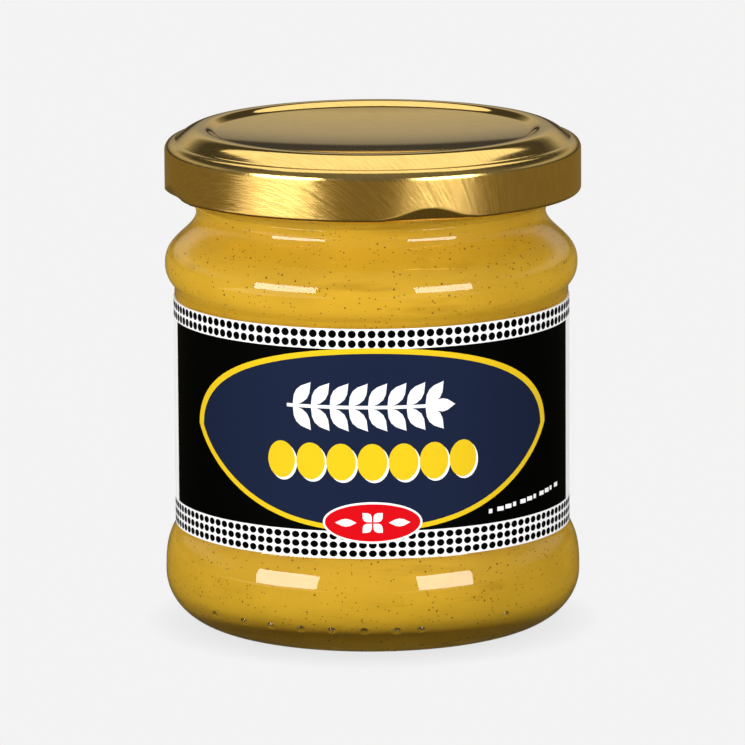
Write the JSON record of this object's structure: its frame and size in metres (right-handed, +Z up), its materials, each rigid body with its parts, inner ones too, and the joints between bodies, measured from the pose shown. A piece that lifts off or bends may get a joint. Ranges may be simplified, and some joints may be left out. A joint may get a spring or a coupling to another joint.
{
  "type": "mustard jar",
  "caption": "Squat waisted glass jar filled with mustard, with a paper label round its recessed band and a gold twist-off cap.",
  "frame": {"origin": "centre of the circle the jar stands on, at the bottom of its foot ring", "axes": "+Z up along the jar's axis, the label's front faces -Y"},
  "size_m": [0.069, 0.069, 0.0834],
  "materials": {
    "clear_glass": "clear, moulded",
    "mustard_paste": "smooth wet paste with fine dark specks",
    "label_paper": "coated paper, printed",
    "gold_tinplate": "gold lacquer over rolled tinplate"
  },
  "bodies": {
    "root": {"jar": "clear_glass", "mustard": "mustard_paste", "label": "label_paper", "cap": "gold_tinplate"}
  },
  "joints": []
}
